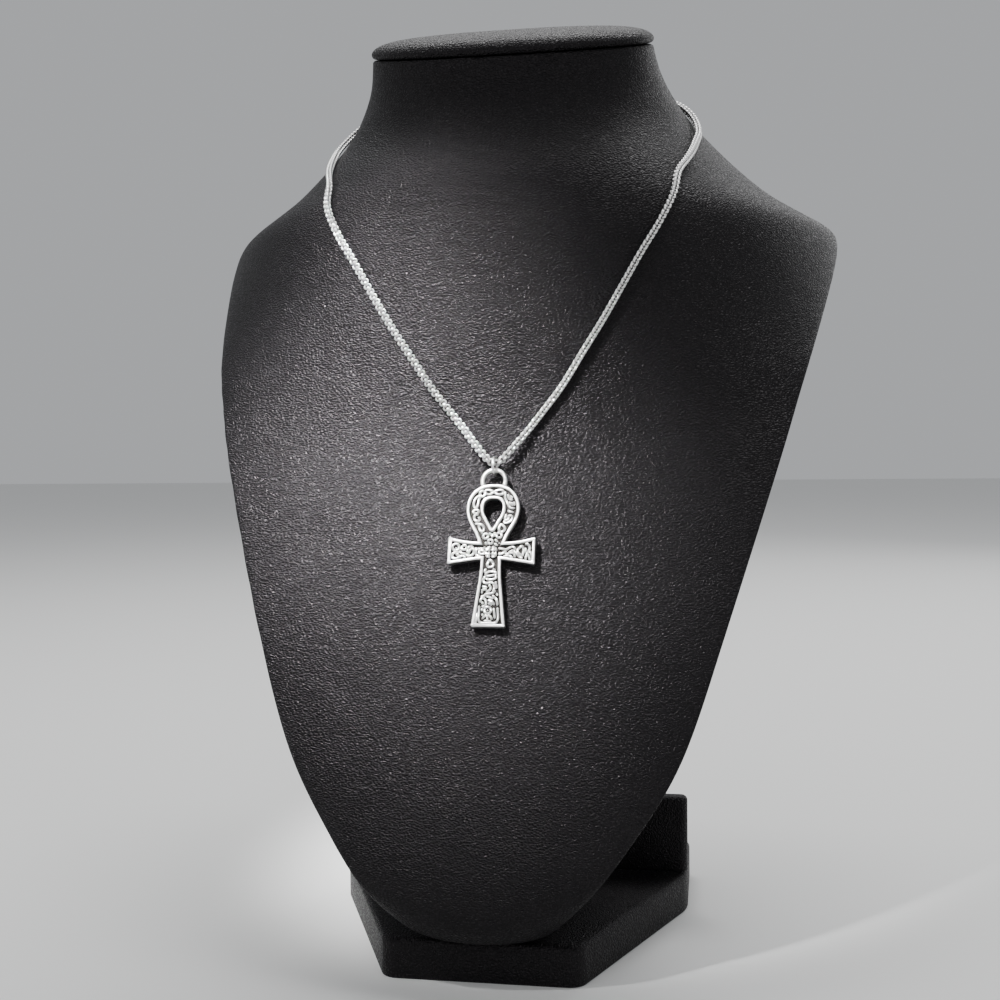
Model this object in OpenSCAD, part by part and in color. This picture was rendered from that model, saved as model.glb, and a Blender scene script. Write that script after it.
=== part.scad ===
// Ankh pendant on a silver box chain, shown on a black leatherette neck bust.
// +Z is up, the front faces -Y, and the base stands on Z = 0, centred in depth.

/* [Bust] */
// Height from the foot on the base to the cap's seam
bust_height = 279.5; // [240:0.5:320]
// Width across the shoulder tips
shoulder_width = 225; // [190:1:260]
// Depth from the lower lip in front to the nape behind
bust_depth = 152.5; // [130:0.5:175]
// Rise of the padded cap above its seam
cap_rise = 7.2; // [5:0.2:12]
// How far the cap's roll stands out over the neck
cap_lip = 0.3; // [0.2:0.1:1.5]

/* [Base] */
// Width of the plate's front edge
plate_front = 59; // [50:1:80]
// Width of the plate's back part
plate_back = 118; // [100:1:140]
// Thickness of the plate
plate_thick = 12.5; // [8:0.5:18]
// Height of the riser above the plate
riser_height = 25.5; // [15:0.5:40]
// Thickness of the upright riser
riser_thick = 6; // [4:0.5:10]
// Depth of the plate behind the riser's face
plate_rear = 36; // [25:1:50]
// Radius of the wrapped upright corners
corner_radius = 3.5; // [2:0.5:6]
// Radius of the wrapped top edges
edge_radius = 1.6; // [0.8:0.2:2]

/* [Chain] */
// Width of the rounded box chain
chain_width = 2.3; // [1.6:0.1:3]
// Length of the clasp between the two ends of the chain
clasp_length = 13; // [10:0.5:18]
// Width of the clasp
clasp_width = 4.6; // [3.6:0.2:6]
// Thickness of the clasp
clasp_thick = 2.6; // [2:0.1:3.4]
// How far to the side of the middle the pendant hangs
hang_side = 1.6; // [0:0.1:4]

/* [Jump ring] */
// Diameter of the ring's wire
ring_wire = 0.8; // [0.6:0.05:1]
// Clear bore of the jump ring
ring_bore = 4.4; // [4.2:0.1:5.4]

/* [Ankh] */
// Width from arm end to arm end
ankh_width = 26.9; // [24:0.1:34]
// Depth of the casting from rim face to back
ankh_thick = 2.3; // [1.8:0.1:3]
// Height of an arm at its end
arm_end = 8.9; // [7:0.1:10]
// Height of an arm beside the centre
arm_root = 5.3; // [4.6:0.1:6]
// Length of the stem below the centre
stem_length = 23.9; // [20:0.1:28]
// Width of the stem at its foot
stem_foot = 10.4; // [9:0.1:13]
// Width of the stem below the centre
stem_root = 6.2; // [6:0.1:7]
// Radius of the loop's round part
loop_radius = 8.15; // [7.5:0.1:9.5]
// Height of the loop's middle above the centre of the cross
loop_rise = 12.4; // [11.5:0.1:13.5]
// Distance from the loop's middle down to where its sides would meet
loop_taper = 16.2; // [15:0.1:18]
// Radius of the opening's round part
hole_radius = 2.85; // [2:0.05:3.4]
// Distance from the opening's middle down to its point
hole_taper = 5.9; // [4.5:0.1:6.4]
// Width of the outer rim
rim = 1.15; // [0.8:0.05:1.4]
// Width of the rim round the opening
hole_rim = 1.3; // [0.9:0.05:1.6]
// Depth of the recess between the rims
recess = 0.8; // [0.4:0.05:1]
// Height of the knotwork above the recess
knot_rise = 0.6; // [0.3:0.05:0.8]
// Width of a knotwork strand
strand = 0.55; // [0.4:0.05:0.7]
// Radius of the woven boss at the centre
boss_radius = 2.3; // [1.8:0.1:2.6]
// Middle radius of the hanging ring on top
eye_radius = 3.6; // [3:0.1:4.2]
// Diameter of the hanging ring's wire
eye_wire = 1.35; // [1:0.05:1.6]

/* [Hidden] */

leather = [0.07, 0.07, 0.075];
silver = [0.78, 0.78, 0.8];
seat_gap = 0.2;
crown_step = 0.02;
ring_gap = 0.1;
pendant_gap = 0.3;
chain_gap = 0.35;

// Sections of the bust from the foot up. Columns: level as a share of bust_height,
// half width as a share of half the shoulder width, then the depth of the side, the
// front half and the back half as shares of bust_depth, fullness of the front arc at
// its sides, flatness at its middle, and forward tilt in degrees.
sections = [
    [0.000, 0.138, 0.167, 0.085, 0.289, 2.00, 2.0, 0],
    [0.008, 0.178, 0.108, 0.079, 0.387, 2.00, 2.0, 0],
    [0.027, 0.220, 0.062, 0.062, 0.450, 2.00, 2.0, 0],
    [0.066, 0.308, 0.033, 0.033, 0.480, 1.70, 2.0, 0],
    [0.120, 0.415, 0.075, 0.046, 0.441, 1.50, 2.0, 0],
    [0.191, 0.527, 0.118, 0.043, 0.430, 1.40, 2.0, 0],
    [0.299, 0.620, 0.167, 0.024, 0.420, 1.40, 2.0, 0],
    [0.406, 0.709, 0.245, 0.024, 0.403, 1.40, 2.0, 0],
    [0.513, 0.798, 0.341, 0.044, 0.387, 1.40, 2.0, 0],
    [0.567, 0.841, 0.407, 0.091, 0.367, 1.40, 2.1, 0],
    [0.621, 0.887, 0.490, 0.171, 0.328, 1.35, 2.3, 0],
    [0.710, 0.964, 0.705, 0.383, 0.210, 1.30, 2.6, 0],
    [0.764, 1.000, 0.849, 0.521, 0.118, 1.25, 2.8, 0],
    [0.789, 0.982, 0.902, 0.567, 0.085, 1.30, 2.8, 0],
    [0.807, 0.902, 0.908, 0.569, 0.090, 1.40, 2.8, 0],
    [0.828, 0.800, 0.882, 0.538, 0.118, 1.50, 2.6, 0],
    [0.857, 0.707, 0.852, 0.495, 0.148, 1.60, 2.5, 2],
    [0.889, 0.618, 0.813, 0.437, 0.184, 1.70, 2.3, 5],
    [0.925, 0.527, 0.757, 0.370, 0.216, 1.80, 2.1, 10],
    [0.961, 0.464, 0.698, 0.304, 0.236, 1.90, 2.0, 14],
    [0.982, 0.442, 0.662, 0.266, 0.238, 2.00, 2.0, 16],
    [1.000, 0.431, 0.633, 0.239, 0.239, 2.00, 2.0, 17]
];
top_row = len(sections) - 1;
section_steps = 2;
bust_sides = 56;

// Profile of the cap: share of the outline's half widths, share of cap_rise.
cap_profile = [
    [0.960, 0.00], [0.988, 0.03], [1.000, 0.14], [1.000, 0.28], [0.985, 0.44], [0.950, 0.60],
    [0.880, 0.76], [0.760, 0.88], [0.560, 0.96], [0.280, 1.00]
];

// The chain's route round one side of the bust, from below the V up to the nape.
// Columns: level as a share of bust_height, angle round the section from the front.
chain_route = [
    [0.552, 8.6], [0.586, 12.4], [0.621, 15.8], [0.657, 18.9], [0.692, 21.7], [0.728, 24.4],
    [0.764, 27], [0.796, 31], [0.824, 38], [0.850, 46.4], [0.868, 53.2], [0.884, 60.3],
    [0.897, 68.2], [0.910, 77.5], [0.922, 87.9], [0.931, 98.7], [0.938, 110], [0.943, 122],
    [0.946, 134], [0.948, 146], [0.949, 157], [0.949, 167]
];
nape_level = 0.949;
// Height of the V's lowest point as a share of bust_height
v_level = 0.5005;
// The open V above the jump ring, before the chain lies down on the chest.
// Columns: sideways and upward distance from the lowest point in chain widths, share
// of the way from the lowest point's depth back to the chest.
v_route = [[0.565, 0.152, 0], [1.174, 0.652, 0.08], [2, 1.565, 0.25], [3.304, 3.087, 0.55],
           [4.609, 4.696, 0.85]];
chain_sides = 8;
fade_points = 8;

// Knotwork in the arms, as shares of an arm's length. Columns: motif, middle x, middle
// y, turn in degrees, length along the turned upright, width across it.
arm_knots = [
    ["oval", -0.816, 0.130, 0, 0.186, 0.186],
    ["oval", -0.819, -0.100, -30, 0.201, 0.156],
    ["leaf", -0.668, 0.093, -100, 0.201, 0.126],
    ["leaf", -0.650, -0.115, 80, 0.216, 0.112],
    ["leaf", -0.519, 0.004, 14, 0.312, 0.164],
    ["leaf", -0.442, -0.045, -150, 0.223, 0.119],
    ["wave", -0.325, 0.041, 90, 0.216, 0.037],
    ["wave", -0.311, -0.067, 90, 0.223, 0.037],
    ["leaf", 0.844, 0.063, 168, 0.320, 0.156],
    ["leaf", 0.816, -0.056, -8, 0.327, 0.149],
    ["leaf", 0.674, 0.015, 172, 0.297, 0.201],
    ["leaf", 0.555, -0.045, 100, 0.245, 0.141],
    ["leaf", 0.462, 0.063, -75, 0.260, 0.126],
    ["wave", 0.325, 0.045, 90, 0.223, 0.045],
    ["wave", 0.325, -0.071, 90, 0.223, 0.037]
];
// Knotwork in the stem, as shares of stem_length, with the same columns
stem_knots = [
    ["leaf", 0.000, -0.174, 0, 0.126, 0.105],
    ["oval", 0.010, -0.305, 98, 0.151, 0.071],
    ["oval", -0.004, -0.366, 97, 0.163, 0.071],
    ["leaf", -0.054, -0.485, 200, 0.142, 0.100],
    ["leaf", 0.044, -0.506, 12, 0.184, 0.096],
    ["oval", -0.021, -0.611, 68, 0.192, 0.079],
    ["oval", 0.067, -0.623, -35, 0.126, 0.063],
    ["oval", 0.000, -0.711, 90, 0.163, 0.071],
    ["oval", 0.004, -0.787, 0, 0.084, 0.084],
    ["leaf", -0.061, -0.862, -38, 0.105, 0.054],
    ["leaf", 0.006, -0.870, 0, 0.100, 0.050],
    ["leaf", 0.073, -0.862, 38, 0.105, 0.054]
];
// Knotwork at the foot of the loop, as shares of loop_radius, with the same columns
fork_knots = [
    ["oval", -0.276, 0.558, 20, 0.270, 0.233],
    ["oval", 0.276, 0.558, -20, 0.270, 0.233],
    ["oval", 0.000, 0.399, 0, 0.209, 0.209],
    ["leaf", -0.509, 0.902, 26, 0.442, 0.221],
    ["leaf", 0.509, 0.902, -26, 0.442, 0.221]
];
// Knotwork round the loop, as shares of loop_radius. Columns: motif, angle round the
// loop's middle, turn from the tangent, length along the tangent, width across the band.
loop_knots = [
    ["oval", -24, 8, 0.503, 0.282],
    ["oval", -24, 8, 0.258, 0.110],
    ["leaf", 12, 0, 0.564, 0.294],
    ["wave", 14, 0, 0.319, 0.049],
    ["leaf", 40, 180, 0.454, 0.282],
    ["leaf", 66, 0, 0.417, 0.270],
    ["leaf", 91, 180, 0.442, 0.270],
    ["oval", 112, 16, 0.417, 0.221],
    ["leaf", 141, 180, 0.613, 0.282],
    ["oval", 174, 0, 0.356, 0.282],
    ["oval", 203, -6, 0.405, 0.270],
    ["oval", 203, -6, 0.209, 0.110]
];
// Frame strand inside the stem's foot: its height and its distance from the rim
frame_height = 7.6;
frame_step = 0.3;
// Greatest value of the leaf curve, and how many strands a leaf's opening is shorter
leaf_peak = 0.77;
leaf_tip = 2.6;
// Powers of the arms' and the stem's flare
arm_flare = 1.4;
stem_flare = 1.15;
edge_steps = 6;
// Height of the opening's middle above the loop's, and of the ring's above the loop's top
hole_lift = 0.5;
eye_lift = 0.8;
// Degrees that the hanging ring runs on past its half circle into the loop's rim
eye_reach = 35;
// How deep the relief is rooted below the recess
root_depth = 0.1;
boss_taper = 0.8;
// The clasp's narrow end and the radius of its eye, as shares of its width
clasp_narrow = 0.6;
clasp_eye = 0.28;
// Radius of the riser's corners as a share of its thickness
riser_corner = 0.4;

// Places worked out from the sizes above
foot_z = plate_thick + seat_gap;
half_width = shoulder_width / 2;
plate_y = (sections[0][2] - sections[0][3] - 0.5) * bust_depth;
riser_y = (max([for (i = [1 : 4]) sections[i][2] + sections[i][4]]) - 0.5) * bust_depth + seat_gap;
ring_radius = (ring_bore + ring_wire) / 2;
eye_rise = loop_rise + loop_radius + eye_lift;
eye_top = eye_rise + eye_radius - eye_wire / 2;
ring_rise = eye_top - ring_gap + ring_bore / 2;
pivot_rise = ring_rise + ring_bore / 2 - ring_gap - chain_width / 2;

function clamp_row(i) = sections[max(0, min(top_row, i))];

// A section between the rows of the table, on a smooth curve through them
function section(u) =
    let (i = floor(u), f = u - i,
         a = clamp_row(i - 1), b = clamp_row(i), c = clamp_row(i + 1), d = clamp_row(i + 2))
    0.5 * (2 * b + f * (c - a) + f * f * (2 * a - 5 * b + 4 * c - d)
           + f * f * f * (3 * b - a - 3 * c + d));

// A point of the bust, by row and by angle round it from the front
function bust_point(u, angle) =
    let (s = section(u), across = abs(sin(angle)), tilt = s[7],
         reach = cos(angle) > 0
             ? -s[3] * bust_depth * pow(1 - pow(across, s[6]), 1 / s[5])
             : s[4] * bust_depth * -cos(angle))
    [s[1] * half_width * sin(angle),
     (s[2] - 0.5) * bust_depth + reach * cos(tilt),
     foot_z + s[0] * bust_height + reach * sin(tilt)];

function row_at(level) = lookup(level, [for (i = [0 : top_row]) [sections[i][0], i]]);
function unit(v) = v / norm(v);
function bust_normal(u, angle) =
    unit(cross(bust_point(u, angle + 0.5) - bust_point(u, angle - 0.5),
               bust_point(u + 0.02, angle) - bust_point(u - 0.02, angle)));
function chest_y(z) = bust_point(row_at((z - foot_z) / bust_height), 0)[1];

// The pendant's hanging point and its lean, worked out from the chest behind it
pivot_z = foot_z + v_level * bust_height;
pivot_off = ring_bore / 2 + ring_wire + pendant_gap;
hang_length = pivot_rise + stem_length;
foot_off = ankh_thick / 2 + pendant_gap;
slope_guess = atan2(chest_y(pivot_z) - chest_y(pivot_z - hang_length), hang_length);
slope = atan2(chest_y(pivot_z) - chest_y(pivot_z - hang_length * cos(slope_guess)),
              hang_length * cos(slope_guess));
lean = slope - asin((pivot_off - foot_off) / hang_length);
pivot_y = chest_y(pivot_z) - pivot_off / cos(slope);

module on_pendant() {
    translate([hang_side, pivot_y, pivot_z]) rotate([-lean, 0, 0]) translate([0, 0, -pivot_rise])
        children();
}

// Closed skin over a list of rings that all have the same number of points
module skin(rings) {
    n = len(rings[0]);
    last = len(rings) - 1;
    polyhedron(
        points = [for (r = rings) each r],
        faces = concat(
            [[for (k = [0 : n - 1]) k]],
            [for (r = [0 : last - 1], k = [0 : n - 1]) each
                [[r * n + k, (r + 1) * n + k, (r + 1) * n + (k + 1) % n],
                 [r * n + k, (r + 1) * n + (k + 1) % n, r * n + (k + 1) % n]]],
            [[for (k = [n - 1 : -1 : 0]) last * n + k]]));
}

module bust() {
    rings = [for (j = [0 : top_row * section_steps])
        [for (k = [0 : bust_sides - 1]) bust_point(j / section_steps, 360 * k / bust_sides)]];
    color(leather) skin(rings);
}

module neck_cap() {
    s = section(top_row);
    across = s[1] * half_width + cap_lip;
    deep = s[3] * bust_depth + cap_lip;
    rings = [for (p = cap_profile)
        [for (k = [0 : bust_sides - 1])
            let (a = 360 * k / bust_sides)
            [across * p[0] * sin(a), -deep * p[0] * cos(a), cap_rise * p[1]]]];
    color(leather)
        translate([0, (s[2] - 0.5) * bust_depth, foot_z + bust_height])
            rotate([s[7], 0, 0]) translate([0, 0, seat_gap]) skin(rings);
}

// Outline with rounded corners through the given corner points, counterclockwise
function rounded(corners, radius, steps = 5) =
    [for (i = [0 : len(corners) - 1])
        let (n = len(corners), p = corners[i],
             a = unit(corners[(i + n - 1) % n] - p), b = unit(corners[(i + 1) % n] - p),
             half = acos(a * b) / 2,
             middle = p + unit(a + b) * radius / sin(half),
             from = p + a * radius / tan(half) - middle,
             sweep = 180 - 2 * half)
        for (k = [0 : steps])
            let (t = sweep * k / steps)
            middle + [from[0] * cos(t) - from[1] * sin(t), from[0] * sin(t) + from[1] * cos(t)]];

// Leather-wrapped slab: flat underneath, with a crown that rounds its top edge
module slab(corners, height, radius) {
    linear_extrude(height - edge_radius) polygon(rounded(corners, radius));
    skin([for (a = [-22.5 : 22.5 : 90])
        let (inset = crown_step + edge_radius * (1 - cos(max(0, a))),
             outline = rounded(inset_corners(corners, inset), radius - inset))
        [for (p = outline) [p[0], p[1], height - edge_radius + edge_radius * sin(a)]]]);
}

// Corners moved inwards by the same distance from both of their edges
function inset_corners(corners, inset) =
    [for (i = [0 : len(corners) - 1])
        let (n = len(corners), p = corners[i],
             a = unit(corners[(i + n - 1) % n] - p), b = unit(corners[(i + 1) % n] - p))
        p + unit(a + b) * inset / sin(acos(a * b) / 2)];

module stand_base() {
    color(leather)
        slab([[-plate_front / 2, plate_y], [plate_front / 2, plate_y], [plate_back / 2, riser_y],
              [plate_back / 2, riser_y + plate_rear], [-plate_back / 2, riser_y + plate_rear],
              [-plate_back / 2, riser_y]], plate_thick, corner_radius);
}

module stand_riser() {
    color(leather) translate([0, 0, plate_thick + seat_gap])
        slab([[-plate_back / 2, riser_y], [plate_back / 2, riser_y],
              [plate_back / 2, riser_y + riser_thick], [-plate_back / 2, riser_y + riser_thick]],
             riser_height, riser_thick * riser_corner);
}

// The chain's centre line on one side, from beside the V to the clasp. The V's own
// sideways place fades out up the route.
chain_off = chain_width / 2 + chain_gap;
function on_bust(level, angle, off) =
    let (u = row_at(level)) bust_point(u, angle) + bust_normal(u, angle) * off;
nape = on_bust(nape_level, 180, clasp_thick / 2 + chain_gap);
nape_tilt = asin(bust_normal(row_at(nape_level), 180)[2]);
function half_chain(mirrored) = concat(
    [for (p = v_route)
        let (z = pivot_z + p[1] * chain_width, back = chest_y(z) - chain_off)
        [p[0] * chain_width * mirrored + hang_side, pivot_y + (back - pivot_y) * p[2], z]],
    [for (i = [0 : len(chain_route) - 1])
        let (p = on_bust(chain_route[i][0], chain_route[i][1], chain_off))
        [p[0] * mirrored + hang_side * max(0, 1 - (i + 1) / fade_points), p[1], p[2]]],
    [[(clasp_length / 2 + seat_gap) * mirrored, nape[1], nape[2]]]);
left_chain = half_chain(-1);
chain_line = concat([for (i = [len(left_chain) - 1 : -1 : 0]) left_chain[i]],
                    [[hang_side, pivot_y, pivot_z]], half_chain(1));

module chain() {
    n = len(chain_line);
    rings = [for (i = [0 : n - 1])
        let (p = chain_line[i],
             along = unit(chain_line[min(i + 1, n - 1)] - chain_line[max(i - 1, 0)]),
             out = unit([p[0], p[1] - nape[1] / 2, 0]),
             side = unit(cross(along, out)),
             up = cross(along, side))
        [for (k = [0 : chain_sides - 1])
            let (a = 360 * (k + 0.5) / chain_sides)
            p + chain_width / 2 * (side * cos(a) + up * sin(a))]];
    color(silver) skin(rings);
}

module clasp() {
    narrow = clasp_width * clasp_narrow / 2;
    eye = clasp_width * clasp_eye;
    color(silver) translate(nape) rotate([90 + nape_tilt, 0, 0]) translate([0, 0, -clasp_thick / 2])
        difference() {
            linear_extrude(clasp_thick)
                polygon(rounded([[-clasp_length / 2, -narrow], [clasp_length / 2, -clasp_width / 2],
                                 [clasp_length / 2, clasp_width / 2], [-clasp_length / 2, narrow]],
                                narrow));
            translate([clasp_length / 2 - clasp_width / 2, 0, -1])
                cylinder(r = eye, h = clasp_thick + 2, $fn = 24);
        }
}

module jump_ring() {
    color(silver) on_pendant() translate([0, 0, ring_rise]) rotate([0, 90, 0])
        rotate_extrude($fn = 64) translate([ring_radius, 0]) circle(d = ring_wire, $fn = 24);
}

// Round outline drawn down to a point: radius, height of its middle, distance to the point
function drop_points(radius, middle, taper, steps = 40) =
    let (start = -asin(radius / taper), sweep = 180 - 2 * start)
    concat([for (k = [0 : steps])
                let (a = start + sweep * k / steps) [radius * cos(a), middle + radius * sin(a)]],
           [[0, middle - taper]]);

// Closed motif outlines of a given length and width
function oval_points(length, width) =
    [for (a = [0 : 15 : 345]) [width / 2 * cos(a), length / 2 * sin(a)]];
function leaf_points(length, width) =
    [for (a = [0 : 15 : 345])
        [-width / (2 * leaf_peak) * sin(a) * sin(a / 2), length / 2 * cos(a)]];
function wave_points(length, width) =
    let (line = [for (t = [0 : 0.1 : 1]) [width * sin(360 * t) / 2, length * (t - 0.5)]])
    concat([for (p = line) p + [strand / 2, 0]],
           [for (i = [len(line) - 1 : -1 : 0]) line[i] - [strand / 2, 0]]);

module motif(kind, length, width) {
    if (kind == "wave") {
        polygon(wave_points(length, width));
    } else {
        difference() {
            polygon(kind == "oval" ? oval_points(length, width) : leaf_points(length, width));
            if (width > 2 * strand + 0.2) {
                polygon(kind == "oval" ? oval_points(length - 2 * strand, width - 2 * strand)
                                       : leaf_points(length - leaf_tip * strand, width - 2 * strand));
            }
        }
    }
}

// Half height of an arm, and half width of the stem, along their length
function arm_half(x) =
    let (along = max(0, x - arm_root / 2) / (ankh_width / 2 - arm_root / 2))
    arm_root / 2 + (arm_end - arm_root) / 2 * pow(along, arm_flare);
function stem_half(y) =
    stem_root / 2 + (stem_foot - stem_root) / 2 * pow(max(0, y) / stem_length, stem_flare);

module arms(inset) {
    end = ankh_width / 2 - inset;
    upper = [for (k = [0 : edge_steps])
        let (x = end * k / edge_steps) [x, arm_half(x) - inset]];
    side = concat(upper, [for (i = [edge_steps : -1 : 0]) [upper[i][0], -upper[i][1]]]);
    polygon(side);
    mirror([1, 0]) polygon(side);
}

module stem(inset) {
    foot = stem_length - inset;
    right = [for (k = [0 : edge_steps])
        let (y = foot * k / edge_steps) [stem_half(y) - inset, -y]];
    polygon(concat(right, [for (i = [edge_steps : -1 : 0]) [-right[i][0], right[i][1]]]));
}

module ankh_outline() {
    arms(0);
    stem(0);
    polygon(drop_points(loop_radius, loop_rise, loop_taper));
}

module ankh_recess() {
    arms(rim);
    stem(rim);
    difference() {
        polygon(drop_points(loop_radius - rim, loop_rise, loop_taper * (1 - rim / loop_radius)));
        polygon(drop_points(hole_radius + hole_rim, loop_rise + hole_lift, hole_taper + hole_rim));
    }
}

module foot_frame() {
    intersection() {
        difference() {
            stem(rim + frame_step);
            stem(rim + frame_step + strand);
        }
        translate([-stem_foot, -stem_length]) square([2 * stem_foot, frame_height]);
    }
}

module knot_set(knots, size) {
    for (k = knots)
        translate([k[1] * size, k[2] * size]) rotate(k[3]) motif(k[0], k[4] * size, k[5] * size);
}

module knotwork() {
    band = (loop_radius - rim + hole_radius + hole_rim) / 2;
    knot_set(arm_knots, ankh_width / 2);
    knot_set(stem_knots, stem_length);
    knot_set(fork_knots, loop_radius);
    for (k = loop_knots)
        translate([0, loop_rise + hole_lift / 2]) rotate(k[1]) translate([band, 0])
            rotate(k[2]) motif(k[0], k[3] * loop_radius, k[4] * loop_radius);
    foot_frame();
}

module ankh() {
    front = ankh_thick / 2;
    floor_z = front - recess;
    root_z = floor_z - root_depth;
    color(silver) on_pendant() {
        rotate([90, 0, 0]) {
            difference() {
                translate([0, 0, -front]) linear_extrude(ankh_thick) ankh_outline();
                translate([0, 0, floor_z]) linear_extrude(recess + 1) ankh_recess();
                translate([0, 0, -front - 1]) linear_extrude(ankh_thick + 2)
                    polygon(drop_points(hole_radius, loop_rise + hole_lift, hole_taper));
            }
            translate([0, 0, root_z]) linear_extrude(knot_rise + root_depth) knotwork();
            translate([0, 0, root_z])
                cylinder(r1 = boss_radius, r2 = boss_radius * boss_taper,
                         h = recess + 2 * root_depth, $fn = 48);
        }
        translate([0, 0, eye_rise]) rotate([90, 0, 0]) rotate(-eye_reach)
            rotate_extrude(angle = 180 + 2 * eye_reach, $fn = 64)
                translate([eye_radius, 0]) circle(d = eye_wire, $fn = 24);
    }
}

bust();
neck_cap();
stand_base();
stand_riser();
chain();
clasp();
jump_ring();
ankh();
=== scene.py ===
import math
import random

import bmesh
import bpy
from mathutils import Matrix, Vector


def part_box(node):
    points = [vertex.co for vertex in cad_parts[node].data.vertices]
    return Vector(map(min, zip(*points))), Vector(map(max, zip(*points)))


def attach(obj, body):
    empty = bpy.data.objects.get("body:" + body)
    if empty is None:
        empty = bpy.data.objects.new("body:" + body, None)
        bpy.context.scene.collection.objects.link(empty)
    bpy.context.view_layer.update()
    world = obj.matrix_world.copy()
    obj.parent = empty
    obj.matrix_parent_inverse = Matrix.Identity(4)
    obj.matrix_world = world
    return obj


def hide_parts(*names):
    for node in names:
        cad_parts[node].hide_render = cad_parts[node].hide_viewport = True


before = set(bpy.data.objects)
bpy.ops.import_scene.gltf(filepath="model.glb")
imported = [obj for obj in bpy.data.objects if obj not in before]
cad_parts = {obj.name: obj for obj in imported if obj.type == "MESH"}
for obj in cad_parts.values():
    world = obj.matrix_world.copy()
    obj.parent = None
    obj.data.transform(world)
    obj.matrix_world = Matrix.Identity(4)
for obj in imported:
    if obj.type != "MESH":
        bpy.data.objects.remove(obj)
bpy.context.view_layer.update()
mm = 0.001
print("frame loaded")

# the camera, where the photograph was taken from: millimetres and degrees, the focal length in pixels
view = {"place": (69.0, -432.75, 166.2), "yaw": 9.43, "pitch": 3.56, "roll": 0.79, "focal": 1305,
        "frameWidth": 1000, "sensor": 36, "nearest": 10}


def makeCamera():
    yaw, pitch, roll = (math.radians(view[k]) for k in ("yaw", "pitch", "roll"))
    level = Vector((math.cos(yaw), math.sin(yaw), 0))
    ahead = Vector((-math.sin(yaw), math.cos(yaw), 0)) * math.cos(pitch)
    ahead -= Vector((0, 0, math.sin(pitch)))
    upright = level.cross(ahead)
    right = level * math.cos(roll) - upright * math.sin(roll)
    up = level * math.sin(roll) + upright * math.cos(roll)
    data = bpy.data.cameras.new("camera")
    data.sensor_width = view["sensor"]
    data.lens = view["focal"] * view["sensor"] / view["frameWidth"]
    data.clip_start = view["nearest"] * mm
    camera = bpy.data.objects.new("camera", data)
    turn = Matrix((right, up, -ahead)).transposed().to_4x4()
    camera.matrix_world = Matrix.Translation(Vector(view["place"]) * mm) @ turn
    bpy.context.scene.collection.objects.link(camera)
    bpy.context.scene.camera = camera


makeCamera()
print("camera set")


# small helpers for shader nodes
def startMaterial(name):
    material = bpy.data.materials.new(name)
    material.use_nodes = True
    return material, material.node_tree.nodes, material.node_tree.links


def setSockets(node, **values):
    for key, value in values.items():
        node.inputs[key.replace("_", " ")].default_value = value
    return node


def mixColours(tree, factor, first, second):
    mix = tree.nodes.new("ShaderNodeMix")
    mix.data_type = "RGBA"
    mix.inputs[6].default_value = (*first, 1)
    mix.inputs[7].default_value = (*second, 1)
    tree.links.new(factor, mix.inputs[0])
    return mix.outputs[2]


def rangeMap(tree, value, low, high, toLow, toHigh, smooth=True):
    node = tree.nodes.new("ShaderNodeMapRange")
    node.interpolation_type = "SMOOTHSTEP" if smooth else "LINEAR"
    setSockets(node, From_Min=low, From_Max=high, To_Min=toLow, To_Max=toHigh)
    tree.links.new(value, node.inputs["Value"])
    return node.outputs[0]


def mathNode(tree, operation, first, second):
    node = tree.nodes.new("ShaderNodeMath")
    node.operation = operation
    for slot, value in ((0, first), (1, second)):
        if isinstance(value, (int, float)):
            node.inputs[slot].default_value = value
        else:
            tree.links.new(value, node.inputs[slot])
    return node.outputs[0]


# black leatherette: pebbled grain with fine creases, a little uneven in tone and gloss; the creases are
# coloured darker as painted shade
leatherLook = {"pebble": 1.0, "pebbleTop": 0.34, "pebbleHeight": 0.4,  # a pebble's size in mm, and its form
               "warp": 0.45, "warpPull": 0.9,  # how the pebbles are drawn out of line
               "grain": 0.52, "grainHeight": 2.2, "grainGloss": 0.10,
               "pillow": 40.0, "uneven": (0.3, 0.7, 0.75, 1.0),  # the slow rise and fall, and its tone
               "relief": 0.24, "crease": (0.0015, 0.0015, 0.0017), "face": (0.0065, 0.0060, 0.0066),
               "glossFace": 0.26, "glossCrease": 0.50, "specular": 0.19, "sheen": (1.0, 0.93, 0.98)}


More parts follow.
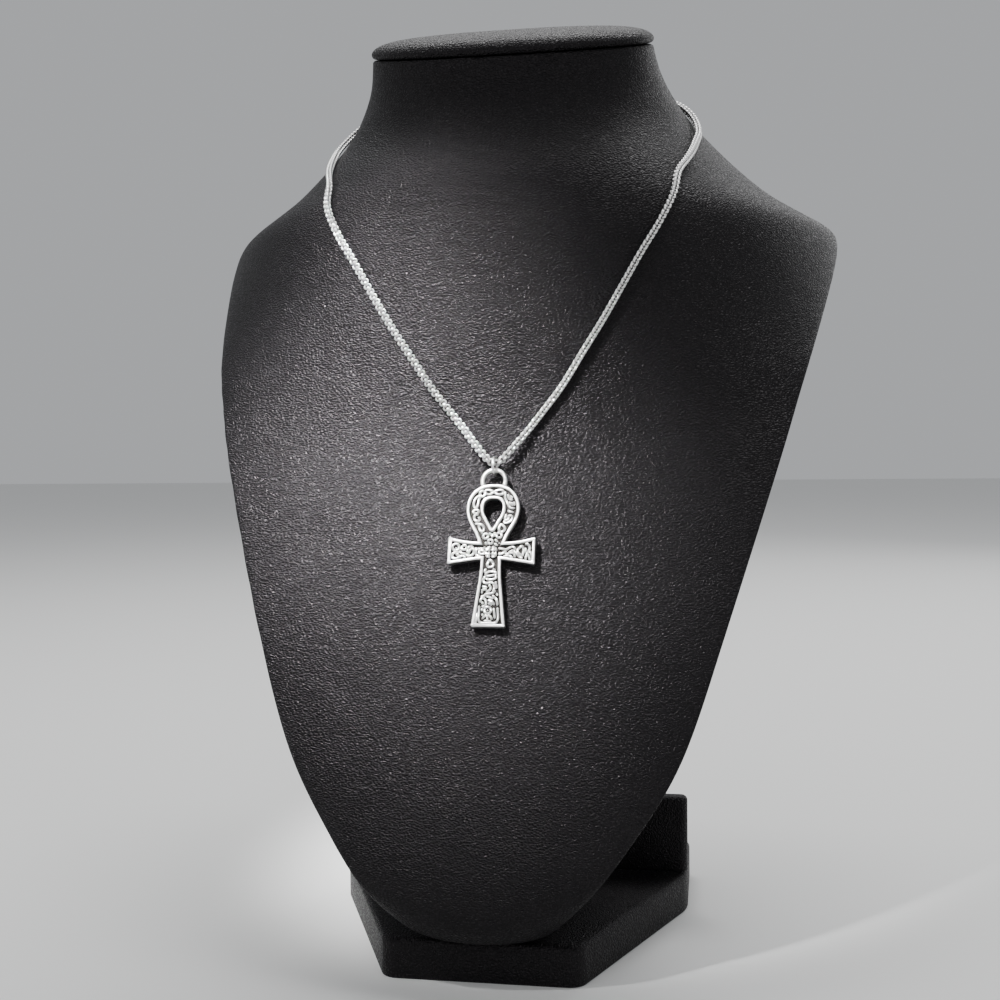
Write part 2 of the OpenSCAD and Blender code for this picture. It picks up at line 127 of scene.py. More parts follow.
def makeLeather(name, look, stretch=(1.0, 1.0, 1.0), undulation=0.25):
    material, nodes, links = startMaterial(name)
    tree = material.node_tree
    pebbleSize = look["pebble"] * mm
    skin = nodes["Principled BSDF"]
    place = nodes.new("ShaderNodeTexCoord")
    mapping = nodes.new("ShaderNodeMapping")
    mapping.inputs["Scale"].default_value = stretch
    links.new(place.outputs["Object"], mapping.inputs["Vector"])
    warp = setSockets(nodes.new("ShaderNodeTexNoise"), Scale=look["warp"] / pebbleSize, Detail=2.0)
    links.new(mapping.outputs[0], warp.inputs["Vector"])
    pull = nodes.new("ShaderNodeVectorMath")
    pull.operation = "MULTIPLY_ADD"
    pull.inputs[1].default_value = [pebbleSize * look["warpPull"]] * 3
    links.new(warp.outputs["Color"], pull.inputs[0])
    links.new(mapping.outputs[0], pull.inputs[2])
    cells = setSockets(nodes.new("ShaderNodeTexVoronoi"), Scale=1 / pebbleSize)
    cells.feature = "DISTANCE_TO_EDGE"
    links.new(pull.outputs[0], cells.inputs["Vector"])
    pebble = rangeMap(tree, cells.outputs["Distance"], 0.0, look["pebbleTop"], 0.0, 1.0)
    grain = setSockets(nodes.new("ShaderNodeTexNoise"), Scale=1 / (look["grain"] * mm), Detail=0.0)
    links.new(mapping.outputs[0], grain.inputs["Vector"])
    pillow = setSockets(nodes.new("ShaderNodeTexNoise"), Scale=look["pillow"], Detail=2.0)
    links.new(mapping.outputs[0], pillow.inputs["Vector"])
    height = mathNode(tree, "ADD", mathNode(tree, "MULTIPLY", pebble, look["pebbleHeight"]),
                      mathNode(tree, "MULTIPLY", grain.outputs["Fac"], look["grainHeight"]))
    height = mathNode(tree, "ADD", height, mathNode(tree, "MULTIPLY", pillow.outputs["Fac"], undulation))
    bump = setSockets(nodes.new("ShaderNodeBump"), Strength=1.0, Distance=look["relief"] * mm)
    links.new(height, bump.inputs["Height"])
    links.new(bump.outputs["Normal"], skin.inputs["Normal"])
    # painted shade: the colour darkens into the creases between pebbles, and the slow noise adds uneven
    # tone
    creaseShadeAndTone = mathNode(tree, "MULTIPLY", pebble, rangeMap(tree, pillow.outputs["Fac"], *look["uneven"]))
    links.new(mixColours(tree, creaseShadeAndTone, look["crease"], look["face"]), skin.inputs["Base Color"])
    dull = rangeMap(tree, pebble, 0, 1, look["glossCrease"], look["glossFace"], False)
    dull = mathNode(tree, "ADD", dull, mathNode(tree, "MULTIPLY", grain.outputs["Fac"], look["grainGloss"]))
    links.new(dull, skin.inputs["Roughness"])
    skin.inputs["Specular IOR Level"].default_value = look["specular"]
    skin.inputs["Specular Tint"].default_value = (*look["sheen"], 1)
    return material


# silver: bright where it is handled, dark where the attribute says so: real patina in the ankh's hollows,
# painted shade inside the chain
silverLook = {"bright": (0.90, 0.89, 0.87), "dark": (0.018, 0.017, 0.016), "gloss": 0.32, "dull": 0.55,
              "cloud": 900.0, "blot": (0.45, 0.75, 0.0, 0.22), "blotHold": (-0.1, 0.5, 0.3, 1.0),
              "patina_and_shade": (0.12, 0.95, 0.0, 1.0), "scuff": 4200.0, "scuffStrength": 0.4}


def makeSilver(name, look, grain=0.02):
    material, nodes, links = startMaterial(name)
    tree = material.node_tree
    metal = nodes["Principled BSDF"]
    metal.inputs["Metallic"].default_value = 1.0
    patina_and_shade = nodes.new("ShaderNodeAttribute")
    patina_and_shade.attribute_name = "patina_and_shade"
    place = nodes.new("ShaderNodeTexCoord")
    cloud = setSockets(nodes.new("ShaderNodeTexNoise"), Scale=look["cloud"], Detail=3.0)
    links.new(place.outputs["Object"], cloud.inputs["Vector"])
    blot = mathNode(tree, "MULTIPLY", rangeMap(tree, cloud.outputs["Fac"], *look["blot"]),
                    rangeMap(tree, patina_and_shade.outputs["Fac"], *look["blotHold"]))
    amount = mathNode(tree, "ADD", patina_and_shade.outputs["Fac"], blot)
    amount = rangeMap(tree, amount, *look["patina_and_shade"])
    links.new(mixColours(tree, amount, look["bright"], look["dark"]), metal.inputs["Base Color"])
    links.new(rangeMap(tree, amount, 0, 1, look["gloss"], look["dull"], False), metal.inputs["Roughness"])
    scuff = setSockets(nodes.new("ShaderNodeTexNoise"), Scale=look["scuff"], Detail=2.0)
    links.new(place.outputs["Object"], scuff.inputs["Vector"])
    bump = setSockets(nodes.new("ShaderNodeBump"), Strength=look["scuffStrength"], Distance=grain * mm)
    links.new(scuff.outputs["Fac"], bump.inputs["Height"])
    links.new(bump.outputs["Normal"], metal.inputs["Normal"])
    return material


bustLeather = makeLeather("bust leatherette", leatherLook, stretch=(0.68, 0.9, 1.2))
capLeather = makeLeather("cap leatherette", leatherLook, undulation=0.4)
baseLeather = makeLeather("base leatherette", leatherLook)
castSilver = makeSilver("cast silver with patina", silverLook, grain=0.03)
wireLook = {**silverLook, "bright": (0.95, 0.94, 0.93), "gloss": 0.28}
chainSilver = makeSilver("drawn silver wire", wireLook, grain=0.01)
print("materials made")


def addPiece(name, bm, material, body, patina_and_shade=None, sharpAngle=None):
    mesh = bpy.data.meshes.new(name)
    bm.to_mesh(mesh)
    bm.free()
    mesh.shade_smooth()
    if sharpAngle:
        mesh.set_sharp_from_angle(angle=math.radians(sharpAngle))
    mesh.materials.append(material)
    if patina_and_shade:
        layer = mesh.attributes.new("patina_and_shade", "FLOAT", "POINT")
        layer.data.foreach_set("value", patina_and_shade)
    piece = bpy.data.objects.new(name, mesh)
    bpy.context.scene.collection.objects.link(piece)
    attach(piece, body)
    return piece


def addSubdivision(piece, levels):
    smooth = piece.modifiers.new("smooth", "SUBSURF")
    smooth.levels = smooth.render_levels = levels


def copyNode(node, mergeWithin=0.005):
    bm = bmesh.new()
    bm.from_mesh(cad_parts[node].data)
    bmesh.ops.remove_doubles(bm, verts=bm.verts, dist=mergeWithin * mm)
    return bm


def ramp(value, start, over):
    # 0 before start, then evenly up to 1
    return max(0.0, min(1.0, (value - start) / over))


def smoothLine(points, closed=False, perSpan=5):
    # a curve through all the points, with even pull at each
    points = [Vector(p) for p in points]
    if closed:
        ends = [points[-1]] + points + points[:2]
    else:
        ends = [2 * points[0] - points[1]] + points + [2 * points[-1] - points[-2]]
    line = []
    for i in range(1, len(ends) - 2):
        a, b, c, d = ends[i - 1:i + 3]
        for k in range(perSpan):
            t = k / perSpan
            line.append(0.5 * (2 * b + t * (c - a) + t * t * (2 * a - 5 * b + 4 * c - d)
                               + t ** 3 * (3 * b - a - 3 * c + d)))
    return line if closed else line + [points[-1]]


# the bust: the solid's own shape, quads again and rounded, with a sewn seam down the back
bust = {"joinFlat": 40, "joinShape": 60, "rimFrom": 262, "rimAngle": 60, "rimCrease": 0.8,
        "seamWidth": 1.6, "seamSteps": 4, "seamDepth": 0.55, "seamFrom": 20, "seamTo": 285,
        "middle": 0.05, "levels": 2}


def makeBust():
    bm = copyNode("bust")
    bmesh.ops.join_triangles(bm, faces=bm.faces, angle_face_threshold=math.radians(bust["joinFlat"]),
                             angle_shape_threshold=math.radians(bust["joinShape"]))
    # the neck's top edge stays crisp under the cap
    crease = bm.edges.layers.float.new("crease_edge")
    sharp = math.radians(bust["rimAngle"])
    for e in bm.edges:
        if min(v.co.z for v in e.verts) > bust["rimFrom"] * mm and e.calc_face_angle(0) > sharp:
            e[crease] = bust["rimCrease"]

    def onBack(v):
        return abs(v.co.x) < bust["middle"] * mm and v.co.y > 0

    back = [e for e in bm.edges if all(onBack(v) for v in e.verts)
            and abs(e.verts[0].co.z - e.verts[1].co.z) > mm]
    bmesh.ops.bevel(bm, geom=back, offset=bust["seamWidth"] * mm, segments=bust["seamSteps"], profile=0.5,
                    affect="EDGES", material=-1, clamp_overlap=True)
    for v in bm.verts:
        if onBack(v) and bust["seamFrom"] * mm < v.co.z < bust["seamTo"] * mm:
            v.co -= v.normal * bust["seamDepth"] * mm
    bmesh.ops.recalc_face_normals(bm, faces=bm.faces)
    piece = addPiece("bustSkin", bm, bustLeather, "bust_and_chain")
    addSubdivision(piece, bust["levels"])
    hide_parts("bust")


makeBust()
print("bust made")

# the padded cap on the neck: a turned crown with a tucked edge and fine puckers
cap = {"centre": (0, 20.28, 292.35), "across": 48.8, "deep": 36.75, "rise": 7.2, "tilt": 17, "steps": 120,
       "profile": [(0.0, 1.0), (0.28, 0.997), (0.52, 0.965), (0.72, 0.895), (0.85, 0.79), (0.935, 0.645),
                   (0.978, 0.48), (0.998, 0.32), (1.0, 0.2), (0.992, 0.08), (0.972, 0.015), (0.935, 0.0),
                   (0.93, -0.05)],
       "pucker": 0.16, "puckerRadius": 45, "puckerAt": 0.12, "puckerReach": 0.3, "puckerFrom": 0.9,
       "waves": 7, "waveCounts": (17, 61), "waveSum": 3, "seed": 4, "levels": 1}


def makeCap():
    bm = bmesh.new()
    last = None
    for reach, height in cap["profile"]:
        v = bm.verts.new((reach, 0, height))
        if last:
            bm.edges.new((last, v))
        last = v
    bmesh.ops.spin(bm, geom=bm.verts[:] + bm.edges[:], cent=(0, 0, 0), axis=(0, 0, 1), angle=math.tau,
                   steps=cap["steps"], use_merge=True)
    bmesh.ops.remove_doubles(bm, verts=bm.verts, dist=1e-5)
    bmesh.ops.holes_fill(bm, edges=[e for e in bm.edges if e.is_boundary], sides=0)
    dice = random.Random(cap["seed"])
    waves = [(dice.randint(*cap["waveCounts"]), dice.random() * math.tau, dice.random())
             for _ in range(cap["waves"])]
    for v in bm.verts:
        reach = math.hypot(v.co.x, v.co.y)
        turn = math.atan2(v.co.y, v.co.x)
        ripple = sum(math.sin(n * turn + shift) * size for n, shift, size in waves) / cap["waveSum"]
        near = max(0.0, 1 - abs(v.co.z - cap["puckerAt"]) / cap["puckerReach"])
        if reach <= cap["puckerFrom"]:
            near = 0.0
        grow = 1 + ripple * near * cap["pucker"] / cap["puckerRadius"]
        across, deep = cap["across"] * grow, cap["deep"] * grow
        v.co = Vector((v.co.x * across, v.co.y * deep, v.co.z * cap["rise"])) * mm
    bmesh.ops.recalc_face_normals(bm, faces=bm.faces)
    tilt = Matrix.Rotation(math.radians(cap["tilt"]), 4, "X")
    bmesh.ops.transform(bm, matrix=Matrix.Translation(Vector(cap["centre"]) * mm) @ tilt, verts=bm.verts)
    piece = addPiece("capPad", bm, capLeather, "bust_and_chain")
    addSubdivision(piece, cap["levels"])
    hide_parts("neck_cap")


makeCap()
print("cap made")

# the plate wrapped in leatherette, and the riser across it
base = {"front": 59, "back": 118, "corner": 3.5, "riserCorner": 2.4, "cornerSteps": 6,
        "edge": 1.6, "edgeSteps": 4, "foot": 0.6, "footSteps": 2, "sharp": 50}


def wrapSlab(name, node, corners, cornerRadius):
    low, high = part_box(node)
    bm = bmesh.new()
    face = bm.faces.new([bm.verts.new((x * mm, y, low[2])) for x, y in corners])
    bmesh.ops.bevel(bm, geom=face.verts[:], offset=cornerRadius * mm, segments=base["cornerSteps"],
                    profile=0.5, affect="VERTICES", material=-1, clamp_overlap=True)
    grown = bmesh.ops.extrude_face_region(bm, geom=bm.faces[:])
    top = [g for g in grown["geom"] if isinstance(g, bmesh.types.BMVert)]
    bmesh.ops.translate(bm, verts=top, vec=(0, 0, high[2] - low[2]))
    bmesh.ops.recalc_face_normals(bm, faces=bm.faces)
    for height, which in ((high[2], "edge"), (low[2], "foot")):
        rim = [e for e in bm.edges if all(abs(v.co.z - height) < 0.01 * mm for v in e.verts)]
        bmesh.ops.bevel(bm, geom=rim, offset=base[which] * mm, segments=base[which + "Steps"], profile=0.5,
                        affect="EDGES", material=-1, clamp_overlap=True)
    piece = addPiece(name, bm, baseLeather, "bust_and_chain", sharpAngle=base["sharp"])
    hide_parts(node)


def makeBase():
    low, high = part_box("stand_base")
    riserLow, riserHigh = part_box("stand_riser")
    f, b = base["front"] / 2, base["back"] / 2
    plate = [(-f, low[1]), (f, low[1]), (b, riserLow[1]), (b, high[1]), (-b, high[1]), (-b, riserLow[1])]
    panel = [(-b, riserLow[1]), (b, riserLow[1]), (b, riserHigh[1]), (-b, riserHigh[1])]
    wrapSlab("basePlate", "stand_base", plate, base["corner"])
    wrapSlab("riserPanel", "stand_riser", panel, base["riserCorner"])


makeBase()
print("base made")

# the chain: rounded square links, each turned a quarter from the last, along the route round the neck
chain = {"width": 2.68, "length": 1.95, "wire": 0.48, "breadth": 1.0, "play": 0.01,  # one link
         "square": 0.05, "cornering": 1.5, "sides": 12, "wireSides": 6,
         "brightFrom": 0.9, "darkOver": 0.5,  # how the painted shade fades in towards the chain's middle
         "perSpan": 24, "rollLeft": 0, "rollRight": 45, "rollFrom": 0.44, "rollOver": 0.12,
         "chestOut": (0.2, -1, 0), "neckFrom": -20, "neckOver": 45, "neckAxis": 34,
         "hangSide": 1.6, "hangFrom": 4, "hangOver": 8,  # the drop hangs a little to the right
         "middle": (1.6, -35.471, 152.59),
         "half": [(2.9, -35.47, 152.94), (4.3, -35.27, 154.09), (6.2, -34.71, 156.19),
                  (9.2, -33.07, 159.69), (12.2, -31.12, 163.39), (15.4, -29.77, 167.56),
                  (21.94, -28.77, 176.15), (28.29, -28.12, 186.33), (34.46, -27.03, 196.17),
                  (40.45, -25.53, 206.65), (46.41, -23.39, 217.31), (51.82, -20.57, 226.43),
                  (56.08, -15.78, 235.84), (57.46, -8.46, 243.97), (60.25, 0.78, 249.82),
                  (61.81, 8.58, 254.06), (62.74, 16.31, 258.2), (63.45, 23.86, 262), (62.96, 31.46, 266.37),
                  (61.17, 38.26, 271.05), (58.35, 42.8, 274.87), (53.96, 47.76, 278.38),
                  (47.78, 53.23, 281.36), (40.07, 58.41, 283.56), (30.92, 62.77, 285.23),
                  (21.52, 65.82, 286.24), (12.38, 67.73, 286.62), (6.7, 68.77, 286.87)]}


def routePoints():
    right, left = [], []
    for i, (x, y, z) in enumerate(chain["half"]):
        shift = chain["hangSide"] * (1 - ramp(i, chain["hangFrom"], chain["hangOver"]))
        right.append(Vector((x, y, z)))
        left.append(Vector((2 * shift - x, y, z)))
    return left[::-1] + [Vector(chain["middle"])] + right


def linkMesh():
    bm = bmesh.new()
    bmesh.ops.create_circle(bm, cap_ends=False, segments=chain["wireSides"], radius=0.5)
    bmesh.ops.transform(bm, matrix=Matrix.Rotation(math.pi / 2, 4, "X"), verts=bm.verts)
    bmesh.ops.scale(bm, vec=(chain["wire"], 1, chain["breadth"]), verts=bm.verts)
    bmesh.ops.translate(bm, vec=((chain["length"] - chain["wire"]) / 2, 0, 0), verts=bm.verts)
    bmesh.ops.spin(bm, geom=bm.verts[:] + bm.edges[:], cent=(0, 0, 0), axis=(0, 0, 1), angle=math.tau,
                   steps=chain["sides"], use_merge=True)
    bmesh.ops.remove_doubles(bm, verts=bm.verts, dist=1e-5)
    return bm


def makeChain():
    line = smoothLine(routePoints(), perSpan=chain["perSpan"])
    reach = [0.0]
    for a, b in zip(line, line[1:]):
        reach.append(reach[-1] + (b - a).length)
    pitch = chain["length"] - 2 * chain["wire"] - chain["play"]
    count = int(reach[-1] / pitch)
    print("chain length", round(reach[-1], 1), "mm, links", count)
    link = linkMesh()
    shape = []
    for v in link.verts:
        turn = math.atan2(v.co.y, v.co.x)
        # pushed out towards the corners, so the ring is a rounded square, a little longer across
        out = 1 + chain["square"] * abs(math.sin(2 * turn)) ** chain["cornering"]
        centre = Vector((math.cos(turn), math.sin(turn), 0)) * (chain["length"] - chain["wire"]) / 2
        offset = Vector((v.co.x, v.co.y, 0)) - centre
        co = centre * out + offset
        co = Vector((co.x, co.y * chain["width"] / chain["length"], v.co.z))
        # painted shade: dark towards the chain's middle, where the links shade each other
        fromEdge = chain["brightFrom"] - math.hypot(co.y, co.z)
        shape.append((co, ramp(fromEdge, 0, chain["darkOver"])))
    mesh = bpy.data.meshes.new("linkShape")
    bmesh.ops.recalc_face_normals(link, faces=link.faces)
    link.to_mesh(mesh)
    link.free()
    bm = bmesh.new()
    patina_and_shade = []
    k = 0
    for i in range(count):
        want = (i + 0.5) * reach[-1] / count
        while reach[k + 1] < want:
            k += 1
        share = (want - reach[k]) / (reach[k + 1] - reach[k])
        centre = line[k].lerp(line[k + 1], share)
        along = (line[min(k + 2, len(line) - 1)] - line[max(k - 1, 0)]).normalized()
        # the flats face the front on the chest and turn outwards round the neck
        turned = ramp(centre.y, chain["neckFrom"], chain["neckOver"])
        outwards = Vector((centre.x, centre.y - chain["neckAxis"], 0)).normalized()
        out = Vector(chain["chestOut"]).lerp(outwards, turned)
        side = along.cross(out).normalized()
        out = side.cross(along)
        twist = ramp(i / (count - 1), chain["rollFrom"], chain["rollOver"])
        twist = twist * twist * (3 - 2 * twist)
        quarter = 90 * (i % 2)
        roll = math.radians(chain["rollLeft"] + (chain["rollRight"] - chain["rollLeft"]) * twist + quarter)
        flat = out * math.cos(roll) + side * math.sin(roll)
        deep = along.cross(flat)
        start = len(bm.verts)
        bm.from_mesh(mesh)
        bm.verts.ensure_lookup_table()
        for j, (co, dark) in enumerate(shape):
            bm.verts[start + j].co = (centre + along * co.x + flat * co.y + deep * co.z) * mm
            patina_and_shade.append(dark)
    piece = addPiece("chainLinks", bm, chainSilver, "bust_and_chain", patina_and_shade=patina_and_shade)
    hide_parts("chain")


makeChain()
print("chain made")

# where the pendant hangs and how it leans on the chest
pendant = {"pivot": (1.6, -35.471, 152.59), "lean": 19.86, "pivotRise": 27.325, "ringRise": 26.375}


def pendantPlace():
    hung = Matrix.Translation(Vector(pendant["pivot"]) * mm)
    lean = Matrix.Rotation(math.radians(-pendant["lean"]), 4, "X")
    return hung @ lean @ Matrix.Translation((0, 0, -pendant["pivotRise"] * mm))


# the jump ring: round wire bent to a ring, with a small cut left between its ends
jumpRing = {"wire": 0.85, "across": 5.2, "cut": 3, "cutAt": 100, "turn": -5, "steps": 72, "wireSides": 20,
            "sharp": 60}


def makeJumpRing():
    bm = bmesh.new()
    radius = jumpRing["across"] / 2
    bmesh.ops.create_circle(bm, cap_ends=True, segments=jumpRing["wireSides"],
                            radius=jumpRing["wire"] / 2)
    bmesh.ops.transform(bm, matrix=Matrix.Rotation(math.pi / 2, 4, "X"), verts=bm.verts)
    bmesh.ops.translate(bm, vec=(radius, 0, 0), verts=bm.verts)
    bmesh.ops.spin(bm, geom=bm.faces[:], cent=(0, 0, 0), axis=(0, 0, 1),
                   angle=math.tau - math.radians(jumpRing["cut"]), steps=jumpRing["steps"])
    bmesh.ops.recalc_face_normals(bm, faces=bm.faces)
    turn = (Matrix.Rotation(math.radians(jumpRing["turn"]), 4, "Z") @ Matrix.Rotation(math.pi / 2, 4, "Y")
            @ Matrix.Rotation(math.radians(jumpRing["cutAt"]), 4, "Z"))
    rise = Matrix.Translation((0, 0, pendant["ringRise"] * mm))
    bmesh.ops.transform(bm, matrix=pendantPlace() @ rise @ turn @ Matrix.Scale(mm, 4), verts=bm.verts)
    piece = addPiece("jumpRingWire", bm, chainSilver, "jump_ring", sharpAngle=jumpRing["sharp"])
    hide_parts("jump_ring")


makeJumpRing()
print("jump ring made")

# the ankh: a flat casting, rounded rims, a dark recess and round strands that pass over and under
ankh = {"thick": 2.3, "rim": 0.93, "recess": 0.8, "shift": (0.22, -0.28), "level": 0.01, "sharp": 50,
        "rimRound": 0.28, "rimSteps": 3, "innerRound": 0.22, "innerSteps": 2, "cornerRound": 0.42,
        "cornerSteps": 3, "cornerAngle": 40,
        "strand": 0.38, "strandRise": 0.26, "weave": 0.09, "weavePhase": 2.1, "pointsPerTurn": 3,
        "endRound": 0.08, "tubeSteps": 2,
        "eyeRadius": 3.55, "eyeWire": 1.45, "eyeRise": 21.5, "eyeReach": 35, "eyeSteps": 40,
        "bossAt": (-0.05, -0.85), "bossRadius": 2.1, "bossRise": 0.95, "bossSink": 0.18,
        "bossStrand": 0.38, "bossRows": (-1.42, -0.64, 0.64, 1.42), "bossGaps": (0.14, 0.04),
        "bossInset": 0.12, "bossSteps": 10, "bossWeave": 0.1, "bossPitch": 0.92,
        "darkBelow": 0.40, "brightAbove": 0.64}
# half of the outline, x from the middle and y up from the cross, each run smooth and joined at a corner
outline = {
    "loop": [(0, 20.5), (1.5, 20.42), (2.9, 20.15), (4.2, 19.65), (5.4, 18.9), (6.4, 17.9), (7.2, 16.7),
             (7.8, 15.3), (8.13, 13.9), (8.2, 12.6), (8.08, 11.3), (7.7, 9.9), (7.1, 8.4), (6.35, 6.9),
             (5.5, 5.4), (4.75, 3.9), (4.1, 2.25)],
    "armTop": [(4.1, 2.25), (6, 2.36), (8, 2.6), (10, 2.95), (12, 3.42), (13.4, 3.82)],
    "armFoot": [(13.36, -4.78), (11, -4.36), (9, -4.05), (7, -3.75), (5, -3.45), (3.12, -3.2)],
    "stem": [(3.12, -3.2), (3.17, -6), (3.33, -8.5), (3.6, -11), (3.85, -13), (4.15, -15.5), (4.45, -18),
             (4.75, -20.5), (5.02, -22.5), (5.2, -23.9)],
    "hole": [(0, 6.42), (0.13, 6.5), (0.26, 6.72), (0.7, 7.5), (1.3, 8.6), (1.9, 9.7), (2.48, 10.8),
             (2.86, 11.9), (2.95, 13.1), (2.72, 14.4), (2.15, 15.25), (1.2, 15.75), (0, 15.85)]}
